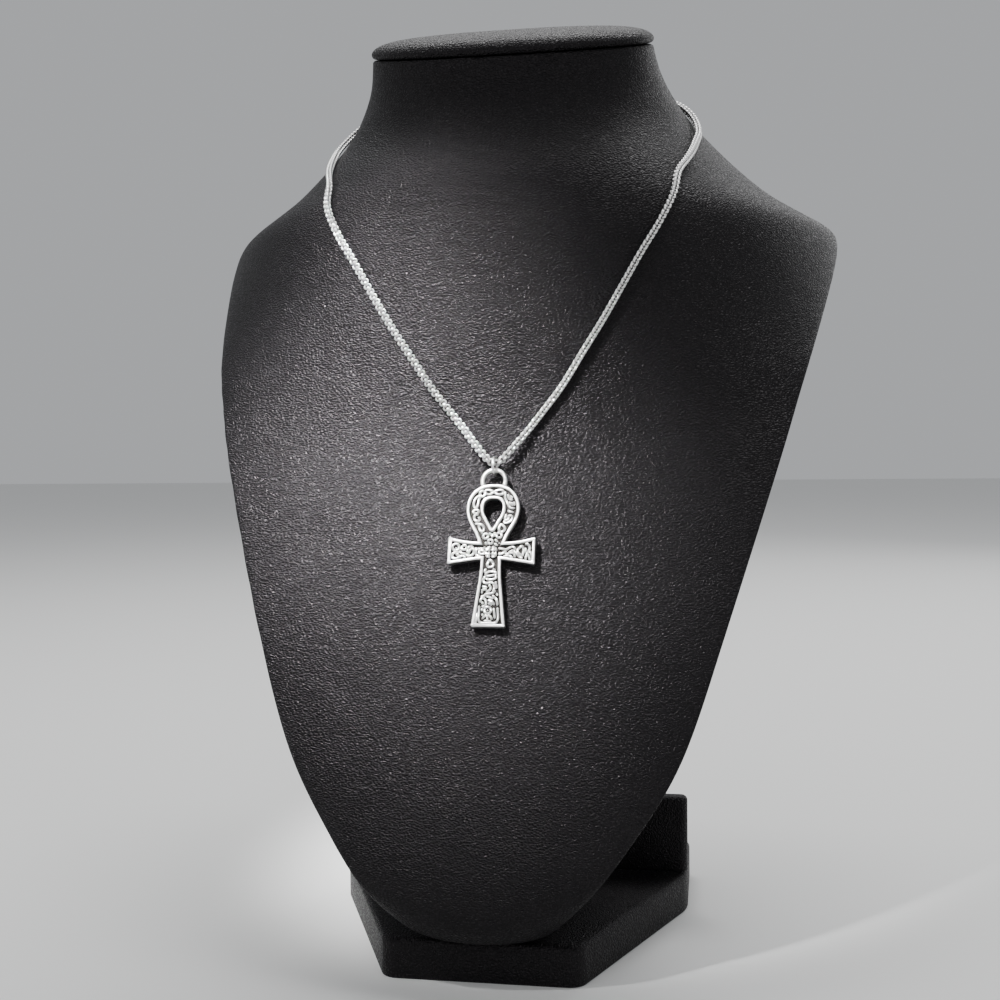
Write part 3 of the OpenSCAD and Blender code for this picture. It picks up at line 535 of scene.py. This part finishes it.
# the knotwork, each strand by points on its middle line: "ring" closes, "line" doesn't
knots = [
    # left arm
    ("ring", [(-11.0, 1.72), (-10.25, 1.42), (-9.98, 0.7), (-10.25, -0.05), (-11.0, -0.35), (-11.75, -0.05),
              (-12.02, 0.7), (-11.75, 1.42)]),
    ("line", [(-10.95, 0.05), (-10.8, 0.55)]),
    ("line", [(-9.8, -1.0), (-11.0, -0.98), (-11.9, -1.5), (-11.95, -2.4), (-11.2, -2.98), (-10.3, -2.75),
              (-9.95, -2.1), (-10.3, -1.65), (-10.9, -1.75)]),
    ("ring", [(-8.45, 1.25), (-7.82, 0.9), (-7.75, 0.3), (-8.3, -0.15), (-9.0, 0.0), (-9.2, 0.65)]),
    ("line", [(-9.35, -0.2), (-9.55, -0.85), (-8.9, -1.3), (-8.0, -1.45), (-7.4, -1.9), (-6.8, -2.4)]),
    ("line", [(-9.75, -2.95), (-9.45, -2.3), (-8.8, -2.1), (-8.2, -2.45), (-7.9, -2.9)]),
    ("ring", [(-5.75, 0.3), (-5.35, -0.4), (-5.45, -1.2), (-5.9, -1.9), (-6.65, -2.1), (-7.0, -1.6),
              (-6.8, -0.8), (-6.35, 0.05)]),
    ("line", [(-7.45, -1.05), (-7.35, -0.2), (-7.0, 0.6), (-6.3, 0.85), (-5.55, 0.6)]),
    ("line", [(-5.0, 0.55), (-4.72, -0.1), (-4.75, -0.9), (-4.6, -1.7), (-4.0, -2.1), (-3.2, -2.0)]),
    ("line", [(-4.25, 0.3), (-3.9, 0.0), (-3.3, 0.2), (-2.5, 0.25), (-1.9, 0.75)]),
    ("ring", [(-3.75, -0.92), (-3.45, -0.45), (-2.9, -0.35), (-2.3, -0.5), (-2.0, -0.92), (-2.35, -1.38),
              (-2.95, -1.45), (-3.5, -1.35)]),
    # right arm
    ("line", [(2.1, 0.35), (3.0, 0.25), (3.9, 0.0), (4.8, 0.0), (5.5, 0.4), (6.3, 0.78), (7.0, 0.55),
              (7.35, -0.1)]),
    ("line", [(2.2, -1.3), (3.1, -1.5), (3.9, -0.95), (4.6, -0.55)]),
    ("line", [(4.2, -1.35), (5.1, -1.4), (5.9, -0.7), (6.7, -0.4), (7.45, -0.95), (8.15, -1.75),
              (9.0, -2.55), (9.7, -2.55)]),
    ("line", [(3.7, -2.05), (4.5, -2.1), (5.3, -1.95), (6.0, -2.2), (6.6, -2.7)]),
    ("line", [(5.7, -1.35), (6.4, -1.1), (7.0, -1.5), (7.3, -2.45)]),
    ("ring", [(9.35, 1.0), (9.78, 0.1), (9.8, -0.95), (9.6, -1.85), (9.0, -1.65), (8.3, -1.1), (7.98, -0.4),
              (8.5, 0.35)]),
    ("line", [(10.25, 1.6), (10.95, 1.62), (11.5, 1.1), (11.72, 0.3), (11.4, -0.5), (10.95, -1.3),
              (10.6, -2.3), (10.55, -3.25)]),
    ("line", [(11.7, -0.45), (12.2, -1.4), (12.45, -2.4), (12.6, -3.6)]),
    ("line", [(11.25, -1.5), (11.55, -2.3), (11.78, -3.1), (11.8, -3.8)]),
    ("line", [(10.2, 0.5), (10.45, -0.2), (10.3, -1.0)]),
    # stem
    ("ring", [(-0.35, -3.3), (0.3, -3.75), (0.85, -4.5), (0.75, -5.25), (0.05, -5.55), (-0.75, -5.4),
              (-1.02, -4.8), (-0.85, -4.0)]),
    ("line", [(0.7, -5.9), (1.1, -6.3), (1.5, -6.65)]),
    ("line", [(-1.35, -5.9), (-1.6, -6.6), (-1.95, -7.2)]),
    ("ring", [(-1.35, -7.7), (-0.7, -7.05), (0.4, -6.85), (1.4, -7.05), (1.82, -7.55), (1.0, -8.0),
              (-0.2, -8.25), (-1.0, -8.2)]),
    ("line", [(-1.3, -9.0), (-0.2, -9.35), (0.9, -9.3), (1.65, -8.95), (1.8, -8.4), (1.35, -8.3)]),
    ("line", [(-1.95, -8.3), (-1.7, -8.85), (-2.05, -9.5), (-1.85, -10.15), (-1.2, -10.5), (-0.4, -10.35),
              (0.6, -10.3), (1.25, -10.75), (1.4, -11.6), (1.35, -12.5), (0.9, -13.15)]),
    ("line", [(-0.35, -10.95), (0.2, -11.6), (0.2, -12.3), (-0.3, -12.85), (-1.1, -13.05)]),
    ("line", [(-2.3, -11.5), (-1.5, -11.6), (-0.75, -11.8)]),
    ("line", [(-2.55, -12.8), (-1.7, -12.45), (-0.8, -12.35)]),
    ("line", [(1.95, -9.9), (1.75, -10.5), (2.05, -11.4), (1.95, -12.2)]),
    ("line", [(-2.6, -14.6), (-1.6, -14.4), (-0.95, -13.8), (0.2, -13.65), (1.2, -13.35), (1.8, -12.7)]),
    ("line", [(-1.05, -14.45), (-0.1, -14.65), (0.7, -15.1), (1.2, -15.2)]),
    ("line", [(0.95, -14.1), (1.5, -14.8), (2.2, -15.4), (2.5, -16.3), (2.55, -17.3)]),
    ("line", [(2.2, -13.45), (2.4, -14.3)]),
    ("line", [(-2.5, -13.3), (-2.05, -13.35)]),
    ("line", [(-2.65, -16.4), (-2.4, -15.3), (-1.55, -15.15), (-0.98, -15.9), (-0.92, -17.0),
              (-1.5, -17.65), (-2.2, -17.45)]),
    ("line", [(-1.95, -16.2), (-1.9, -17.0)]),
    ("line", [(-0.45, -15.6), (0.4, -15.85), (1.1, -16.25), (1.65, -17.2)]),
    ("line", [(-0.3, -16.8), (0.4, -16.75), (0.85, -17.3)]),
    ("ring", [(-0.3, -17.72), (0.42, -18.02), (0.72, -18.75), (0.42, -19.45), (-0.3, -19.75),
              (-1.02, -19.45), (-1.32, -18.75), (-1.02, -18.02)]),
    ("line", [(-0.32, -18.7), (-0.28, -18.95)]),
    ("line", [(-0.45, -20.1), (-1.2, -20.6), (-1.85, -21.4)]),
    ("line", [(-0.3, -20.1), (-0.3, -21.95)]),
    ("line", [(-0.15, -20.1), (0.65, -20.7), (1.2, -21.6)]),
    ("line", [(-1.4, -22.0), (-0.3, -22.1), (0.9, -22.0)]),
    ("line", [(-2.9, -17.4), (-2.92, -19.0), (-2.98, -21.0), (-2.75, -22.1), (-1.8, -22.62), (0, -22.68),
              (1.8, -22.6), (2.65, -22.1), (2.95, -21.0), (2.78, -19.2), (2.62, -17.9)]),
    ("line", [(-3.45, -19.6), (-3.6, -21.0), (-3.8, -22.7)]),
    ("line", [(1.45, -18.1), (1.75, -19.5), (1.98, -21.3)]),
    ("line", [(-2.1, -18.3), (-1.95, -19.0)]),
    ("line", [(-2.15, -20.3), (-1.5, -19.95)]),
    # round the opening
    ("ring", [(-1.95, 4.85), (-1.4, 4.62), (-1.2, 4.1), (-1.4, 3.55), (-1.95, 3.35), (-2.5, 3.55),
              (-2.7, 4.1), (-2.5, 4.62)]),
    ("ring", [(2.25, 5.2), (2.8, 4.95), (3.0, 4.42), (2.8, 3.9), (2.2, 3.65), (1.65, 3.85), (1.42, 4.4),
              (1.65, 4.95)]),
    ("ring", [(-0.45, 3.05), (0.1, 2.85), (0.25, 2.35), (-0.05, 1.85), (-0.5, 1.72), (-0.95, 1.95),
              (-1.1, 2.45), (-0.9, 2.9)]),
    ("line", [(-1.85, 2.3), (-1.7, 1.75), (-1.35, 1.35)]),
    ("line", [(0.85, 3.0), (1.4, 2.75), (1.75, 2.2)]),
    ("line", [(0.75, 1.9), (1.25, 1.5), (1.9, 1.15)]),
    ("line", [(2.35, 2.1), (2.3, 1.75)]),
    ("line", [(-0.95, 5.2), (-0.4, 4.65), (0.1, 4.3), (0.15, 3.6)]),
    ("line", [(1.0, 5.4), (0.75, 4.8), (0.8, 3.9)]),
    ("ring", [(-4.15, 7.85), (-3.2, 7.6), (-2.6, 6.8), (-2.65, 5.95), (-3.3, 5.55), (-3.8, 6.1),
              (-4.1, 6.9)]),
    ("line", [(-5.45, 7.95), (-4.85, 8.05), (-4.15, 7.85)]),
    ("line", [(-3.2, 4.75), (-3.05, 5.3)]),
    ("line", [(-4.5, 9.95), (-4.1, 9.75), (-4.1, 9.15), (-4.85, 8.85), (-5.6, 9.35), (-5.75, 10.25),
              (-5.3, 10.9), (-4.5, 11.05)]),
    ("ring", [(-6.1, 11.85), (-5.7, 12.35), (-4.9, 12.4), (-4.45, 11.95), (-4.75, 11.4), (-5.6, 11.3)]),
    ("ring", [(-5.85, 13.3), (-6.1, 14.3), (-5.85, 15.5), (-5.2, 16.5), (-4.45, 16.9), (-4.25, 16.3),
              (-4.65, 15.4), (-4.75, 14.3), (-5.0, 13.35)]),
    ("ring", [(-4.35, 17.75), (-3.6, 18.45), (-2.85, 18.0), (-2.75, 17.15), (-3.4, 16.6), (-4.05, 16.95)]),
    ("ring", [(0, 18.0), (0.9, 18.6), (2.0, 18.75), (2.85, 18.35), (2.65, 17.5), (1.75, 17.2), (0.8, 17.5),
              (-0.1, 18.05), (-1.0, 18.6), (-2.1, 18.75), (-2.75, 18.3), (-2.5, 17.6), (-1.7, 17.3),
              (-0.8, 17.5)]),
    ("line", [(3.5, 18.3), (3.5, 17.2), (3.6, 16.1), (4.15, 15.0), (4.6, 14.0), (5.05, 13.2), (5.8, 12.88),
              (6.6, 13.0)]),
    ("line", [(4.5, 17.4), (4.55, 16.5), (5.0, 15.75), (5.9, 15.6)]),
    ("line", [(5.15, 17.0), (5.3, 16.5), (6.0, 16.25)]),
    ("line", [(4.75, 14.95), (5.1, 14.5), (5.4, 13.7)]),
    ("line", [(5.65, 14.85), (5.75, 14.3), (6.0, 13.65)]),
    ("line", [(6.35, 15.0), (6.4, 14.3), (6.55, 13.7)]),
    ("line", [(4.5, 12.3), (5.2, 11.8), (6.35, 11.65)]),
    ("ring", [(4.95, 10.5), (5.8, 10.45), (5.9, 9.55), (5.3, 8.65), (4.4, 8.3), (3.6, 8.5), (4.0, 9.2),
              (4.7, 9.2), (4.85, 9.9)]),
    ("line", [(4.0, 11.1), (3.95, 10.2), (3.55, 9.4)]),
    ("ring", [(2.6, 7.75), (3.3, 7.45), (3.9, 6.55), (3.6, 5.75), (2.7, 5.5), (2.1, 6.0), (2.1, 6.95)])]


def addTubes(bm, lines, radius):
    # round strands with closed ends, as one mesh added to the casting
    data = bpy.data.curves.new("strands", "CURVE")
    data.dimensions = "3D"
    data.bevel_depth = radius
    data.bevel_resolution = ankh["tubeSteps"]
    data.use_fill_caps = True
    for line, closed in lines:
        spline = data.splines.new("POLY")
        spline.points.add(len(line) - 1)
        spline.use_cyclic_u = closed
        for point, co in zip(spline.points, line):
            point.co = (*co, 1)
            if not closed:  # the ends are round
                near = min((co - line[0]).length, (co - line[-1]).length) / radius
                point.radius = math.sqrt(max(ankh["endRound"], 1 - max(0.0, 1 - near) ** 2))
    holder = bpy.data.objects.new("strands", data)
    mesh = bpy.data.meshes.new_from_object(holder)
    bm.from_mesh(mesh)
    bpy.data.objects.remove(holder)
    bpy.data.meshes.remove(mesh)


def knotLines(floor):
    lines = []
    for n, (kind, points) in enumerate(knots):
        closed = kind == "ring"
        flat = smoothLine([(x, y, 0) for x, y in points], closed)
        turns = max(1, round(len(points) / ankh["pointsPerTurn"]))
        for k, co in enumerate(flat):
            swing = math.sin(math.tau * turns * k / len(flat) + n * ankh["weavePhase"])
            co.z = floor + ankh["strandRise"] + ankh["weave"] * swing
        lines.append((flat, closed))
    return lines


def bossLines(floor):
    # crossing strands laid over the boss, with a groove left down its middle each way
    lines = []
    radius, rise, steps = ankh["bossRadius"], ankh["bossRise"] - floor, ankh["bossSteps"]
    cx, cy = ankh["bossAt"]
    for across, gap in enumerate(ankh["bossGaps"]):
        for k, off in enumerate(ankh["bossRows"]):
            reach = math.sqrt((radius - ankh["bossInset"]) ** 2 - off ** 2)
            lift = ankh["bossWeave"] * (1 if (k + across) % 2 else -1)
            for way in (-1, 1):
                line = []
                for j in range(steps + 1):
                    t = way * (gap + (reach - gap) * j / steps)
                    height = math.sqrt(max(0.0, 1 - (t * t + off * off) / radius ** 2))
                    z = floor + rise * height + lift * math.cos(math.pi * t / ankh["bossPitch"])
                    line.append(Vector((cx + off, cy + t, z) if across else (cx + t, cy + off, z)))
                lines.append((line, False))
    return lines


def addCasting(bm):
    front = ankh["thick"] / 2
    floor = front - ankh["recess"]
    half = []
    for run in ("loop", "armTop", "armFoot", "stem"):
        half += [p for p in smoothLine([(x, y, front) for x, y in outline[run]], perSpan=3)
                 if not half or (p - half[-1]).length > 1e-4]
    half.append(Vector((0, outline["stem"][-1][1], front)))
    half += smoothLine([(x, y, front) for x, y in outline["hole"]], perSpan=3)
    bm.faces.new([bm.verts.new(p) for p in half])
    bmesh.ops.mirror(bm, geom=bm.verts[:] + bm.edges[:] + bm.faces[:], matrix=Matrix(), merge_dist=1e-3,
                     axis="X")
    bmesh.ops.recalc_face_normals(bm, faces=bm.faces)
    if bm.faces[:][0].normal.z < 0:
        bmesh.ops.reverse_faces(bm, faces=bm.faces)
    grown = bmesh.ops.extrude_face_region(bm, geom=bm.faces[:])["geom"]
    back = [g for g in grown if isinstance(g, bmesh.types.BMVert)]
    bmesh.ops.translate(bm, verts=back, vec=(0, 0, -2 * front))
    bmesh.ops.recalc_face_normals(bm, faces=bm.faces)
    face = [f for f in bm.faces if f.calc_center_median().z > front - ankh["level"]]
    bmesh.ops.inset_region(bm, faces=face, thickness=ankh["rim"], use_even_offset=True, use_boundary=True)
    grown = bmesh.ops.extrude_face_region(bm, geom=[f for f in face if f.is_valid])["geom"]
    sunk = [g for g in grown if isinstance(g, bmesh.types.BMVert)]
    bmesh.ops.translate(bm, verts=sunk, vec=(0, 0, -ankh["recess"]))
    bmesh.ops.delete(bm, geom=[f for f in face if f.is_valid], context="FACES")
    bmesh.ops.recalc_face_normals(bm, faces=bm.faces)
    corners = [e for e in bm.edges if abs(e.verts[0].co.z - e.verts[1].co.z) > front
               and e.calc_face_angle_signed(0) > math.radians(ankh["cornerAngle"])]
    bmesh.ops.bevel(bm, geom=corners, offset=ankh["cornerRound"], segments=ankh["cornerSteps"],
                    profile=0.5, affect="EDGES", material=-1, clamp_overlap=True)
    outer, inner = [], []
    for e in bm.edges:
        walls = [f for f in e.link_faces if abs(f.normal.z) < 0.5]
        if len(walls) != 1 or len(e.link_faces) != 2:
            continue
        heights = [v.co.z for v in walls[0].verts]
        if max(heights) - min(heights) > ankh["recess"] + ankh["level"]:
            outer.append(e)
        elif min(v.co.z for v in e.verts) > front - ankh["level"]:
            inner.append(e)
    bmesh.ops.bevel(bm, geom=outer, offset=ankh["rimRound"], segments=ankh["rimSteps"], profile=0.5,
                    affect="EDGES", material=-1, clamp_overlap=False)
    bmesh.ops.bevel(bm, geom=[e for e in inner if e.is_valid], offset=ankh["innerRound"],
                    segments=ankh["innerSteps"], profile=0.5, affect="EDGES", material=-1,
                    clamp_overlap=False)
    return floor


def addEye(bm):
    # the half ring on top, its ends sunk in the loop's rim
    reach, radius, steps = math.radians(ankh["eyeReach"]), ankh["eyeRadius"], ankh["eyeSteps"]
    turns = [-reach + (math.pi + 2 * reach) * k / steps for k in range(steps + 1)]
    line = [Vector((radius * math.cos(a), ankh["eyeRise"] + radius * math.sin(a), 0)) for a in turns]
    addTubes(bm, [(line, False)], ankh["eyeWire"] / 2)


def makeAnkh():
    bm = bmesh.new()
    floor = addCasting(bm)
    cast = set(bm.verts)
    radius, rise = ankh["bossRadius"], ankh["bossRise"] - floor - ankh["bossSink"]
    boss = Matrix.Translation((*ankh["bossAt"], floor)) @ Matrix.Diagonal((radius, radius, rise, 1))
    ball = bmesh.ops.create_uvsphere(bm, u_segments=32, v_segments=16, radius=1.0, matrix=boss)
    dome = set(ball["verts"])
    addTubes(bm, knotLines(floor), ankh["strand"])
    addTubes(bm, bossLines(floor), ankh["bossStrand"])
    shaped = set(bm.verts)
    bmesh.ops.translate(bm, verts=bm.verts, vec=(*ankh["shift"], 0))
    addEye(bm)
    # patina: full on the sunk ground and the dome, and fading up the strands; the rims and eye are bright
    dark = []
    for v in bm.verts:
        if v not in shaped:
            dark.append(0.0)
        elif v in cast:
            dark.append(1.0 if abs(v.co.z - floor) < ankh["level"] else 0.0)
        elif v in dome:
            dark.append(1.0)
        else:
            dark.append(1 - ramp(v.co.z, ankh["darkBelow"], ankh["brightAbove"] - ankh["darkBelow"]))
    place = pendantPlace() @ Matrix.Rotation(math.pi / 2, 4, "X") @ Matrix.Scale(mm, 4)
    bmesh.ops.transform(bm, matrix=place, verts=bm.verts)
    piece = addPiece("ankhCasting", bm, castSilver, "ankh", patina_and_shade=dark, sharpAngle=ankh["sharp"])
    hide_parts("ankh")


makeAnkh()
print("ankh made")

# the closed clasp behind the neck
clasp = {"flat": 1, "edge": 0.45, "edgeSteps": 3, "sharp": 35}


def makeClasp():
    bm = copyNode("clasp")
    bmesh.ops.dissolve_limit(bm, angle_limit=math.radians(clasp["flat"]), verts=bm.verts, edges=bm.edges)
    piece = addPiece("claspBody", bm, chainSilver, "bust_and_chain", sharpAngle=clasp["sharp"])
    rounded = piece.modifiers.new("rounded edges", "BEVEL")
    rounded.width = clasp["edge"] * mm
    rounded.segments = clasp["edgeSteps"]
    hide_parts("clasp")


makeClasp()
print("clasp made")

# the floor and the lights, in metres and watts
studio = {"floor": (0.80, 0.80, 0.79), "floorSize": 3.0, "floorDull": 0.9,
          "world": (0.9, 0.92, 0.95), "worldPower": 0.48,
          "middle": (-0.02, -0.04, 0.15), "keyAim": (-0.035, -0.038, 0.163),
          # name, place, size, power, spread of the beam in degrees
          "lamps": [("key", (-0.1487, -0.2662, 0.4891), 0.04, 0.37, 24),
                    ("front", (-0.22, -1.0, 0.81), 0.6, 1.3, 180),
                    ("left", (-0.95, -0.60, 0.42), 0.6, 1.6, 180),
                    ("right", (0.95, -0.70, 0.40), 0.6, 1.7, 180),
                    ("top", (0.0, 0.35, 1.15), 0.9, 12.0, 180),
                    ("rear", (0.55, 0.95, 0.60), 0.6, 2.0, 180)]}


def makeStudio():
    bm = bmesh.new()
    bmesh.ops.create_grid(bm, x_segments=1, y_segments=1, size=studio["floorSize"])
    mesh = bpy.data.meshes.new("floor")
    bm.to_mesh(mesh)
    bm.free()
    material, nodes, _ = startMaterial("pale floor")
    setSockets(nodes["Principled BSDF"], Base_Color=(*studio["floor"], 1), Roughness=studio["floorDull"])
    mesh.materials.append(material)
    floor = bpy.data.objects.new("floor", mesh)
    bpy.context.scene.collection.objects.link(floor)
    world = bpy.data.worlds.new("studio")
    world.use_nodes = True
    background = world.node_tree.nodes["Background"]
    setSockets(background, Color=(*studio["world"], 1), Strength=studio["worldPower"])
    bpy.context.scene.world = world
    for name, spot, size, power, spread in studio["lamps"]:
        data = bpy.data.lights.new(name, "AREA")
        data.size = size
        data.energy = power
        data.spread = math.radians(spread)
        lamp = bpy.data.objects.new(name, data)
        lamp.location = spot
        aim = studio["keyAim"] if name == "key" else studio["middle"]
        lamp.rotation_euler = (Vector(aim) - Vector(spot)).to_track_quat("-Z", "Y").to_euler()
        bpy.context.scene.collection.objects.link(lamp)


makeStudio()
print("studio made")
